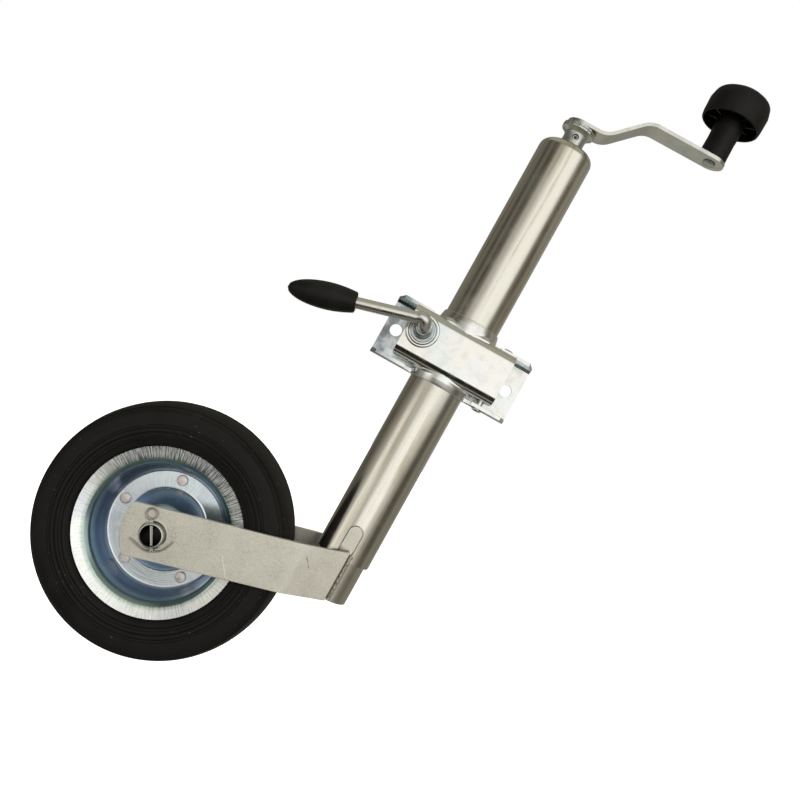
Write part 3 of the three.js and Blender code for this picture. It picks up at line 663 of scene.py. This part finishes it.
def crank_arm():
    half, thickness, low, high = 12.5, 3.0, 224.5, 252.0
    line = soften([(-half, low), (22, low, 18), (50, high, 18), (CRANK_REACH + half, high)], closed=False,
                  steps=14)
    dense = []
    for a, b in zip(line, line[1:]):
        length = math.dist(a, b)
        count = max(1, int(length / 1.2))
        dense += [(a[0] + (b[0] - a[0]) * k / count,
                   a[1] + (b[1] - a[1]) * k / count) for k in range(count)]
    dense.append(line[-1])
    ends = [half * (1 - math.cos(math.radians(a))) for a in (0, 8, 16, 25, 35, 46, 58, 70, 80, 90)]
    dense = ([(-half + e, low) for e in ends] + [p for p in dense if 0.5 < p[0] < CRANK_REACH - 0.5]
             + [(CRANK_REACH + half - e, high) for e in reversed(ends)])
    across = 10
    vertices, faces = [], []
    for i, (x, z) in enumerate(dense):
        before, after = Vector(dense[max(i - 1, 0)]), Vector(dense[min(i + 1, len(dense) - 1)])
        along = (after - before).normalized()
        normal = Vector((-along.y, along.x))
        reach = 0.0
        if x < 0:
            reach = x
        elif x > CRANK_REACH:
            reach = x - CRANK_REACH
        width = math.sqrt(max(half * half - reach * reach, 0.0))
        for up in (1, -1):
            for k in range(across + 1):
                y = AXIS_Y + width * (2 * k / across - 1)
                vertices.append((x + normal.x * up * thickness / 2, y, z + normal.y * up * thickness / 2))
    row = 2 * (across + 1)
    for i in range(len(dense) - 1):
        for k in range(across):
            a = i * row + k
            faces.append((a, a + 1, a + row + 1, a + row))
            b = a + across + 1
            faces.append((b, b + row, b + row + 1, b + 1))
        for k in (0, across):
            a = i * row + k
            faces.append((a, a + row, a + row + across + 1, a + across + 1))
    for i in (0, len(dense) - 1):
        for k in range(across):
            a = i * row + k
            faces.append((a, a + 1, a + across + 2, a + across + 1))
    arm = make("crank_strip", vertices, faces)
    arm = cut(arm, rod("hole", "z", 4.3, 240, 262, (CRANK_REACH, AXIS_Y, 0)))
    piece(round_edges(arm, 0.5, 3), "crank", ["crank_arm"], CRANK_ZINC)


def knob_pin():
    under = 250.2
    profile = [(0, under - 1.7), (3.2, under - 1.7, 0.9), (5.0, under - 1.2, 0.6), (5.4, under - 0.6, 0.3),
               (5.4, under), (4, under), (4, 294.6), (3.2, 295.4), (0, 295.4)]
    pin = lathe("knob_rivet", soften(profile), centre=(CRANK_REACH, AXIS_Y, 0), steps=COARSE)
    piece(pin, "crank", ["knob_pin"], WASHER_ZINC)


def knob():
    foot, rim_z, top, rim, wall, stem = 253.8, 287.0, 316.5, 25.8, 1.8, 11.8
    ceiling = 302.0
    profile = [(4.4, foot), (stem, foot, 1.0), (stem - 0.3, foot + 18), (stem + 0.5, rim_z + 2),
               (stem + 2.2, ceiling, 3),
               (rim - wall - 1, ceiling, 4), (rim - wall - 0.9, rim_z + 1), (rim - wall - 0.7, rim_z, 0.3),
               (rim - 0.9, rim_z, 0.7), (rim - 0.3, rim_z + 4), (rim, 303), (rim - 2.0, 311, 5),
               (rim - 9.5, top - 0.9, 9),
               (0, top), (0, 296), (4.4, 296)]
    body = lathe("knob_cap", soften(profile, steps=8), centre=(CRANK_REACH, AXIS_Y, 0))
    ribs = []
    for i in range(8):
        rib = prism("rib", [(stem - 1, rim_z + 2), (rim - wall, rim_z + 4), (rim - wall, ceiling + 1),
                            (stem - 1, ceiling + 1)],
                    "y", -0.75, 0.75)
        rib.data.transform(Matrix.Rotation(2 * math.pi * (i + 0.5) / 8, 4, "Z"))
        rib.data.transform(Matrix.Translation(Vector((CRANK_REACH, AXIS_Y, 0)) * MM))
        ribs.append(rib)
    piece(join(body, *ribs), "knob", ["knob"], PLASTIC)


# ---------------------------------------------------------------- leg and fork

def inner_tube():
    profile = [(18.7, -225, 0.4), (21.2, -225, 0.5), (21.2, 160, 0.4), (18.7, 160, 0.4)]
    tube = lathe("leg_tube", soften(profile), centre=(0, AXIS_Y, 0))
    piece(tube, "leg", ["inner_tube"], LEG)


def key(name, node, low, high):
    block = prism(name, capsule(5.75, -179.3, -159.5), "y", low, high)
    block = cut(block, rod("round", "z", 21.5, -210, -140, (0, AXIS_Y, 0), FINE))
    piece(round_edges(block, 0.5, 3), "leg", [node], SATIN)


def arm_top(x):
    return -181.7 + 0.267 * x


def fork_arm(name, node, side):
    thickness, middle, bend_x, end_x = 4.5, 37.75, -31, 4
    at_tube = 24.15
    plan = soften([(WHEEL_X - 40, side * middle), (bend_x, side * middle, 24),
                   (end_x + 8, side * at_tube)], False, 16)
    outline = [(x, y + AXIS_Y) for x, y in ribbon(plan, thickness)]
    arm = prism(name, outline, "z", -310, -140)
    tip = WHEEL_X - 20
    nose = []
    for i in range(25):
        t = i / 24
        nose.append((tip - 5.5 + 11 * t - 24 * t * (1 - t), arm_top(tip - 5.5) - t * 42.2))
    face = nose + [(end_x, arm_top(end_x) - 43.5), (end_x, arm_top(end_x))]
    arm = keep(arm, prism("face", face, "y", AXIS_Y - 60, AXIS_Y + 60))
    arm = cut(arm, rod("hole", "y", 11.2, AXIS_Y + side * 60, AXIS_Y + side * 20, (WHEEL_X, 0, WHEEL_Z)),
              rod("round", "z", 21.5, -260, -160, (0, AXIS_Y, 0), FINE))
    piece(round_edges(arm, 0.5, 3), "leg", [node], SATIN)


def weld(name, side):
    """A bead of weld down the fork arm's end, against the tube."""
    path, radii = [], []
    for i in range(61):
        z = -183.5 - 40 * i / 60
        path.append((6.1 + 0.25 * math.sin(i * 0.9), AXIS_Y + side * (21.9 + 0.1 * math.sin(i * 1.3)), z))
        radii.append(1.75 + 0.14 * math.sin(i * 0.75) + random.uniform(-0.05, 0.05))
    piece(sweep(name, path, radii, 20), "leg", [], WELD)


# ---------------------------------------------------------------- wheel

HUB = (WHEEL_X, AXIS_Y, WHEEL_Z)


def groove(radius, depth, face, width=0.7):
    return [(radius - width, face), (radius - width * 0.4, face - depth),
            (radius + width * 0.4, face - depth),
            (radius + width, face)]


def tyre():
    side = [(56, 5), (62, 25), (71.2, 25), (71.4, 28.2), (72.8, 30.4), (74.2, 31.4),
            *groove(76.0, 1.3, 31.7, 0.9), *groove(78.6, 0.8, 32.0, 0.5), *groove(81.6, 1.4, 32.2, 0.9),
            *groove(85.4, 1.0, 32.3, 0.5), *groove(87.6, 0.6, 32.3, 0.4),
            (92, 32.2), (96.5, 31.6), *groove(99.3, 0.3, 30.4, 0.4), (101.6, 28.7),
            *groove(102.6, 0.5, 27.6, 0.4),
            (104.3, 24.6), (105.6, 20.6), (106.5, 15.8), (107.1, 10.4), (107.5, 5.0), (107.5, 0.6),
            (107.7, 0)]
    mirrored = [(r, -y) for r, y in reversed(side[:-1])]
    piece(lathe("solid_tyre", side + mirrored, "y", HUB, 256), "wheel", ["tyre"], RUBBER, 50)


def rivet_places():
    return [polar(42.6, 100 + 72 * i) for i in range(5)]


def rim(name, node, side):
    line = soften([(14.3, 22.2), (21.5, 21.4, 5), (28.5, 10, 8), (34.0, 0.95, 4), (50.6, 0.95, 3.5),
                   (54.2, 11, 9),
                   (57.4, 22.0, 4.5), (61.0, 24.9, 2.5), (70.4, 26.9)], False, 8)
    profile = [(r, side * y) for r, y in ribbon(line, 1.6)]
    half = lathe(name, profile, "y", HUB, 256)
    for x, z in rivet_places():
        half = cut(half, rod("hole", "y", 2.9, AXIS_Y - 5, AXIS_Y + 5, (HUB[0] + x, 0, HUB[2] + z), 32))
    piece(half, "wheel", [node], RIM)


def rivets():
    for i, (x, z) in enumerate(rivet_places()):
        upper = [(2.6, 2.05), (4.8, 2.05, 0.3), (4.8, 2.6, 0.4), (3.9, 3.35, 1.2), (1.5, 3.6), (0, 3.62)]
        lower = [(p[0], -p[1], *p[2:]) for p in reversed(upper)]
        head = lathe(f"rivet_{i + 1}", soften(lower + upper, False), "y",
                     (HUB[0] + x, HUB[1], HUB[2] + z), COARSE)
        piece(head, "wheel", [f"rim_rivet_{i + 1}"], RIVET)


def axle():
    profile = [(8, -45, 0.5), (10, -45, 0.9), (10, 45, 0.9), (8, 45, 0.5)]
    tube = lathe("axle_tube", soften(profile), "y", HUB, 96)
    for side in (-1, 1):
        hole = rod("hole", "z", 1.75, -20, 20, (0, 0, 0), 24)
        hole.data.transform(Matrix.Rotation(math.radians(-29), 4, "Y"))
        hole.data.transform(Matrix.Translation(Vector((HUB[0], HUB[1] + side * 42.6, HUB[2])) * MM))
        tube = cut(tube, hole)
    piece(tube, "leg", ["axle"], AXLE_ZINC)


def cotter(name, node, side):
    def wire(points, radius, label, steps=10):
        line = curve_through([(x, 0, z) for x, z in points], steps)
        return sweep(label, line, [radius] * len(line), 14)
    eye = [polar(4.3, 250 - a, 0, 17.2) for a in range(-45, 320, 22)]
    left = wire([(-0.62, 13.0), (-0.62, 4), (-0.62, -11.2), (-2.6, -12.4), (-8.2, -10.2), (-13.0, -5.8),
                 (-17.8, -1.6)], 0.72, "a")
    right = wire([(0.62, 13.0), (0.62, 4), (0.62, -11.2), (2.6, -12.6), (7.4, -12.0), (12.6, -8.8),
                  (17.0, -5.0)], 0.72, "b")
    loop = wire(eye, 0.8, "c", 4)
    pin = merge(left, right, loop)
    pin.name = name
    pin.data.transform(Matrix.Rotation(math.radians(-29), 4, "Y"))
    pin.data.transform(Matrix.Translation(Vector((HUB[0], HUB[1] + side * 42.6, HUB[2])) * MM))
    piece(pin, "leg", [node], STEEL)


# ---------------------------------------------------------------- clamp

def channel(name, back, tip, low, high, sheet, bend, half_length):
    direction = 1 if tip > back else -1
    inset = sheet / 2 * direction
    line = soften([(tip, low + sheet / 2), (back + inset, low + sheet / 2, bend),
                   (back + inset, high - sheet / 2, bend),
                   (tip, high - sheet / 2)], False, 12)
    return prism(name, ribbon(line, sheet), "x", -half_length, half_length)


def collar(name, face, rim_z, half):
    """Half of a drawn collar: it flares out of the sheet and rises to a thin rim."""
    bore, wall, flare, steps = 24.7, 1.6, 5.0 if rim_z > 0 else 2.6, 12
    up = 1 if rim_z > face else -1
    rise = min(flare, 0.7 * abs(rim_z - face))
    profile = [(bore, face - up * 2.5), (bore + wall + flare, face - up * 2.5)]
    for i in range(steps + 1):
        a = math.pi / 2 * i / steps
        profile.append((bore + wall + flare * (1 - math.sin(a)), face + up * rise * (1 - math.cos(a))))
    profile += [(bore + 0.75, rim_z - up * 0.3), (bore + 0.55, rim_z), (bore + 0.2, rim_z),
                (bore, rim_z - up * 0.3)]
    whole = lathe(name, profile, "z", (0, AXIS_Y, 0), 160)
    for v in whole.data.vertices:  # in front the flare has only the cap's bend to grow from
        x, y = v.co.x / MM, v.co.y / MM - AXIS_Y
        r = math.hypot(x, y)
        room = 26.45 * r / -y if y < 0 else 99
        t = min(1.0, (room - bore - wall) / 9)
        if r > bore + wall and t < 1:
            r_new = bore + wall + (r - bore - wall) * max(0.02, t * t * (3 - 2 * t))
            v.co.x, v.co.y = x * r_new / r * MM, (AXIS_Y + y * r_new / r) * MM
    return keep(whole, half())


def rear_half():
    y0, y1 = AXIS_Y + 0.5, -0.5
    return prism("half", [(-60, y0), (60, y0), (60, y1), (-60, y1)], "z", -60, 60)


def front_half():
    """What the cap's collars may fill: they stop behind its rounded front edges."""
    high = arc(-50.2, 16.1, 7.2, 180, 149, 10)
    low = arc(-50.2, -12.8, 7.2, 211, 180, 10)
    y, back = high[-1][0], AXIS_Y - 0.5
    return prism("half", [*low, *high, (y, 60), (back, 60), (back, -60), (y, -60)], "x", -60, 60)


def clamp_base():
    base = channel("base_channel", 0, -38, -27.2, 27.2, 3, 3.5, 66)
    outline = soften([(-66, 1), (66, 1), (66, -7, 6), (59, -39), (-59, -39), (-66, -7, 6)])
    base = keep(base, prism("trim", outline, "z", -30, 30))
    base = join(base, collar("c", 27.2, 31, rear_half), collar("d", -27.2, -28, rear_half))
    mouth = prism("mouth", [(-32, AXIS_Y - 40), (32, AXIS_Y - 40), (32, AXIS_Y), (-32, AXIS_Y)], "z", -60,
                  60)
    base = cut(base, rod("bore", "z", 24.7, -60, 60, (0, AXIS_Y, 0), 160), mouth,
               rod("pivot", "z", 3.3, -60, 60, (39, -25, 0)),
               rod("left", "y", 5.5, -10, 10, (-55, 0, 0)), rod("right", "y", 5.5, -10, 10, (55, 0, 0)))
    piece(round_edges(base, 0.45, 2), "clamp_base", ["clamp_base"], PLATE_ZINC)


def clamp_cap():
    cap = channel("cap_channel", -58, -20, -20.6, 23.9, 3, 6.5, 46)
    outline = soften([(-46, -59), (46, -59), (46, -28, 5), (42, -19), (-42, -19), (-46, -28, 5)])
    cap = keep(cap, prism("trim", outline, "z", -22, 25))
    cap = join(cap, collar("c", 23.9, 33, front_half), collar("d", -20.6, -28, front_half))
    ridge = [(10.8, -56.5)] + [(12.5 - 1.7 * math.cos(math.pi * i / 12),
                                -58 - 1.1 * math.sin(math.pi * i / 12))
                               for i in range(13)] + [(14.2, -56.5)]
    cap = join(cap, lathe("ridge", ridge, "y", (SCREW_X, 0, SCREW_Z), 128))
    way = prism("way", [(-24.7, AXIS_Y), (24.7, AXIS_Y), (24.7, 10), (-24.7, 10)], "z", -60, 60)
    cap = cut(cap, rod("bore", "z", 24.7, -60, 60, (0, AXIS_Y, 0), 160), way,
              rod("pivot", "z", 3.3, -60, 60, (39, -25, 0)),
              rod("screw", "y", 5.8, -70, -45, (SCREW_X, 0, SCREW_Z)))
    piece(round_edges(cap, 0.4, 2), "clamp_cap", ["clamp_cap"], ZINC)


def clamp_fasteners():
    head = [(3, 27.5), (4.6, 27.5, 0.3), (4.6, 28.4, 0.4), (3.2, 29.6, 0.8), (0, 29.7)]
    profile = [(p[0], -p[1], *p[2:]) for p in reversed(head)] + head
    pin = lathe("pivot_rivet", soften(profile, False), "z", (39, -25, 0), COARSE)
    piece(pin, "clamp_base", ["clamp_pivot_pin"], ZINC)
    ring = [(5.6, -58.3), (5.6, -61.3, 0.4), (10, -61.3, 0.7), (10, -58.3)]
    washer = lathe("screw_washer", soften(ring), "y", (SCREW_X, 0, SCREW_Z), 96)
    piece(washer, "clamp_cap", ["clamp_washer"], WASHER_ZINC)


def clamp_lever():
    centre = (SCREW_X, 0, SCREW_Z)
    y, lift, slope = -81.0, 7.0, math.radians(15.6)
    profile = [(0, -75), (5.4, -75, 0.8), (6.8, -73.2, 0.8), (6.8, -64.6, 0.4), (7.8, -64.0, 0.5),
               (7.8, -61.6, 0.5),
               (5, -61.6), (5, -5.6, 0.5), (4, -4.6), (0, -4.6)]
    screw = lathe("screw", soften(profile), "y", centre, 96)
    along = Vector((-math.cos(slope), 0, -math.sin(slope)))
    corner = Vector((SCREW_X, y, SCREW_Z + lift))
    bend = [(0, -68, 0.2), (0.2, -73, 0.8), (0.2, -77, 2.6), (-1.2, -80, 5.0), (-4.5, -81.3, 6.3)]
    path = curve_through([Vector((SCREW_X + x, v, SCREW_Z + z)) for x, v, z in bend]
                         + [corner + along * 9, corner + along * 14], 6)
    path += [corner + along * (14 + 73.5 * i / 10) for i in range(1, 11)]
    radii = [4.7 + 1.1 * max(0.0, 1 - max(0, i - 14) / 14) for i in range(len(path))]
    handle = sweep("handle", path, radii, 40)
    lever = join(screw, handle)
    lever.name = "screw_lever"
    piece(lever, "lever", ["clamp_lever"], LEVER_ZINC, 45)


def lever_grip():
    start, length, radius, bore = 57.5, 55.5, 11.0, 5.0
    outline = []
    fattest, butt = 0.40, 0.74
    for i in range(40):
        t = i / 40
        ahead = math.sqrt(1 - (max(0, t - fattest) / (1 - fattest)) ** 2.1)
        behind = 1 - (1 - butt) * (max(0, fattest - t) / fattest) ** 1.8
        outline.append((radius * ahead * behind, t * length))
    outline[0] = (outline[0][0] - 1.3, 0)
    outline.insert(1, (outline[1][0] - 0.35, 0.5))
    profile = [(bore, 0), *outline, (0, length), (0, 33), (bore, 33)]
    grip = lathe("grip_body", profile, "z", (0, 0, start), 96)
    lay_flat, lean = math.radians(-90), math.radians(-15.6)
    rod_start = Vector((SCREW_X, -81.0, SCREW_Z + 7.0)) * MM
    grip.data.transform(Matrix.Rotation(lay_flat, 4, "Y"))
    grip.data.transform(Matrix.Rotation(lean, 4, "Y"))
    grip.data.transform(Matrix.Translation(rod_start))
    piece(grip, "lever", ["lever_grip"], PLASTIC, 45)


outer_tube()
crank_boss()
crank_arm()
knob_pin()
knob()
inner_tube()
key("slide_key_front", "key_front", -54.3, -49)
key("slide_key_rear", "key_rear", -11, -5.7)
fork_arm("arm_front", "fork_arm_front", -1)
fork_arm("arm_rear", "fork_arm_rear", 1)
weld("weld_front", -1)
weld("weld_rear", 1)
tyre()
rim("pressed_rim_front", "rim_front", -1)
rim("pressed_rim_rear", "rim_rear", 1)
rivets()
axle()
cotter("split_pin_front", "cotter_pin_front", -1)
cotter("split_pin_rear", "cotter_pin_rear", 1)
clamp_base()
clamp_cap()
clamp_fasteners()
clamp_lever()
lever_grip()

for names, finish in (
    (("bearing_race_upper", "bearing_race_lower", "bearing_ball_cage", "lifting_screw", "lifting_nut",
      "hub_sleeve"), STEEL),
    (("hub_bush_front", "hub_bush_rear"), NYLON),
    (("axle_washer_front", "axle_washer_rear", "clamp_nut"), ZINC),
):
    for name in names:
        node = frame["nodes"][name]
        node.data.materials.clear()
        node.data.materials.append(finish)


# ---------------------------------------------------------------- stage, light and camera

def stage():
    floor_z = CAD_BOX[0].z - 0.35  # below the wheel with the tube lowered and the leg wound out
    mesh = bpy.data.meshes.new("floor")
    size = 12.0
    mesh.from_pydata([(-size, -size, floor_z), (size, -size, floor_z), (size, size, floor_z),
                      (-size, size, floor_z)], [],
                     [(0, 1, 2, 3)])
    floor = bpy.data.objects.new("floor", mesh)
    bpy.context.scene.collection.objects.link(floor)
    made, g = material("pale_floor")
    shader = g.surface(Base_Color=(0.86, 0.86, 0.86), Roughness=0.9, Specular_IOR_Level=0.0)
    shader.inputs["Emission Color"].default_value = (1, 1, 1, 1)
    shader.inputs["Emission Strength"].default_value = 0.8
    floor.data.materials.append(made)
    floor.visible_glossy = False
    floor.visible_diffuse = False


# Brightness of the studio's walls by azimuth: soft panels in front, narrow dark gaps at the sides.
HIGH_STRIP = [(-180, 0.20), (-125, 0.18), (-102, 0.15), (-86, 0.05), (-72, 0.17), (-58, 0.07),
              (-44, 0.12), (-34, 0.42),
              (-21, 0.48), (-9, 0.78), (2, 1.03), (40, 1.10), (57, 0.93), (68, 0.22), (85, 0.12),
              (102, 0.28),
              (122, 0.20), (150, 0.33), (180, 0.20)]
LOW_STRIP = [(-180, 0.20), (-122, 0.08), (-102, 0.14), (-84, 0.30), (-71, 0.38), (-60, 1.00), (-45, 1.12),
             (-37, 0.78),
             (-29, 0.52), (-21, 0.52), (-11, 0.98), (2, 1.10), (24, 1.20), (34, 0.68), (48, 0.48),
             (59, 0.26), (71, 0.08),
             (86, 0.09), (104, 0.23), (124, 0.18), (150, 0.30), (180, 0.20)]


def world():
    """A white room for the eye, and a studio of soft panels and dark gaps for the reflections."""
    made = bpy.data.worlds.new("studio")
    made.use_nodes = True
    bpy.context.scene.world = made
    g = Graph(made.node_tree)
    x, y, z = g.split(g.node("ShaderNodeTexCoord").outputs["Generated"])
    azimuth = g.mul(g.math("ARCTAN2", x, g.mul(y, -1.0)), 180 / math.pi)
    elevation = g.mul(g.math("ARCSINE", z), 180 / math.pi)
    turn = g.math("DIVIDE", g.add(azimuth, 180.0), 360.0)
    high = g.strip(turn, HIGH_STRIP)
    low = g.strip(turn, LOW_STRIP)
    strip = g.mix(g.ramp(elevation, -3.0, 8.0), low, high)
    # Below the horizon: a pale wall behind, and a floor that is nearly black straight ahead.
    facing = g.window(azimuth, -125.0, 125.0, 12.0)
    back = g.mul(g.sub(1.0, facing), g.ramp(elevation, -66.0, -50.0, 0.0, 0.40))
    ahead = g.window(azimuth, -30.0, 30.0, 10.0)
    gap = g.add(g.mul(ahead, g.ramp(elevation, -84.0, -66.0, 0.30, 0.012)), g.mul(g.sub(1.0, ahead), 0.22))
    under = g.add(g.mul(facing, gap), back)
    # The strips fill the middle of the wall, and a dim ceiling starts above them.
    middle = g.window(elevation, -17.5, 37.0, 6.0)
    over = g.ramp(elevation, 20.0, 50.0, 0.0, 0.36)
    outside = g.add(over, g.mul(under, g.ramp(elevation, -10.0, 0.0, 1.0, 0.0)))
    seen_strip = g.node("ShaderNodeRGBToBW", {0: strip}).outputs[0]
    light = g.add(g.mul(seen_strip, middle), g.mul(outside, g.sub(1.0, middle)))
    tint = g.mix(g.ramp(light, 0.15, 0.9), (1.0, 0.94, 0.79), (1.0, 0.99, 0.955))
    tint = g.mix(g.ramp(elevation, 28.0, 52.0), tint, (0.96, 0.94, 0.76))
    glow = g.mix(1.0, tint, g.node("ShaderNodeCombineColor", {0: light, 1: light, 2: light}).outputs[0],
                 "MULTIPLY")
    reflected = g.node("ShaderNodeBackground", {0: glow, 1: 1.0}).outputs[0]
    seen = g.node("ShaderNodeBackground", {0: (1.0, 1.0, 1.0), 1: 1.0}).outputs[0]
    camera_ray = g.node("ShaderNodeLightPath").outputs["Is Camera Ray"]
    both = g.node("ShaderNodeMixShader", {0: camera_ray, 1: reflected, 2: seen}).outputs[0]
    g.node("ShaderNodeOutputWorld", {0: both})


def lights():
    data = bpy.data.lights.new("overhead", "SUN")
    data.energy, data.angle = 1.0, math.radians(50)
    light = bpy.data.objects.new("overhead", data)
    light.rotation_euler = (math.radians(18), 0, 0)
    light.visible_glossy = False
    bpy.context.scene.collection.objects.link(light)
    data = bpy.data.lights.new("front_fill", "SUN")
    data.energy, data.angle = 2.0, math.radians(40)
    light = bpy.data.objects.new("front_fill", data)
    light.rotation_euler = (math.radians(72), 0, math.radians(12))
    light.visible_glossy = False
    bpy.context.scene.collection.objects.link(light)


def camera():
    data = bpy.data.cameras.new("camera")
    data.sensor_width, data.lens = 36.0, 37.49
    eye = bpy.data.objects.new("camera", data)
    eye.location = (-0.013213, -0.733687, -0.061326)
    eye.rotation_euler = [math.radians(a) for a in (90.8412, -29.1126, 0.2690)]
    bpy.context.scene.collection.objects.link(eye)
    bpy.context.scene.camera = eye


stage()
world()
lights()
camera()
bpy.context.scene.view_settings.view_transform = "Standard"
